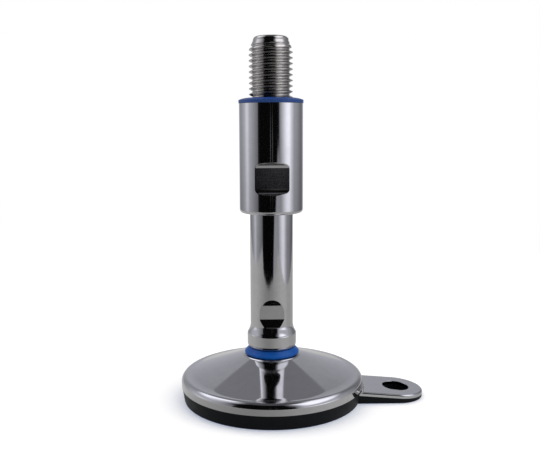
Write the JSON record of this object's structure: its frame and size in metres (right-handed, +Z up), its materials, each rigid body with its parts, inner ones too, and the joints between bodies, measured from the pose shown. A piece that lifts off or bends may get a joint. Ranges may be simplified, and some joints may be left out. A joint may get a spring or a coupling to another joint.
{
  "type": "levelling foot",
  "caption": "Hygienic machine foot: dished steel base on a rubber sole with a bolt-down lug, ball-jointed spindle, and a sealed sleeve that screws along the stud to set the height.",
  "frame": {"origin": "on the spindle's axis at floor level, in the middle of the rubber pad's underside", "axes": "+Z up the spindle, +X along the floor lug"},
  "size_m": [0.1379, 0.103, 0.2019],
  "materials": {
    "steel": "mirror polished",
    "black_rubber": "satin",
    "blue_rubber": "satin"
  },
  "bodies": {
    "base": {"base_plate": "steel", "floor_lug": "steel", "rubber_pad": "black_rubber"},
    "swivel_ring": {"retaining_ring": "steel"},
    "tilting_seal": {"joint_seal": "blue_rubber"},
    "spindle": {"spindle": "steel"},
    "wiper": {"wiper_seal": "blue_rubber"},
    "sleeve": {"sleeve": "steel", "frame_seal": "blue_rubber"}
  },
  "joints": [
    {"name": "ball_swivel", "type": "hinge", "parent": "base", "child": "swivel_ring", "pos_m": [0, 0, 0.0155], "axis": [0, 0, 1], "continuous": true},
    {"name": "ball_tilt", "type": "hinge", "parent": "swivel_ring", "child": "tilting_seal", "pos_m": [0, 0, 0.0155], "axis": [1, 0, 0], "range_deg": [-8, 8], "deforming": ["joint_seal"]},
    {"name": "spindle_spin", "type": "hinge", "parent": "tilting_seal", "child": "spindle", "pos_m": [0, 0, 0.0155], "axis": [0, 0, 1], "continuous": true},
    {"name": "sleeve_travel", "type": "slide", "parent": "spindle", "child": "wiper", "axis": [0, 0, 1], "range_m": [-0.009, 0.021]},
    {"name": "sleeve_turn", "type": "hinge", "parent": "wiper", "child": "sleeve", "pos_m": [0, 0, 0.1362], "axis": [0, 0, 1], "range_deg": [-1080, 2520]}
  ],
  "couplings": [
    {"joint": "sleeve_travel", "follows": "sleeve_turn", "m_per_rad": 0.00047746}
  ]
}
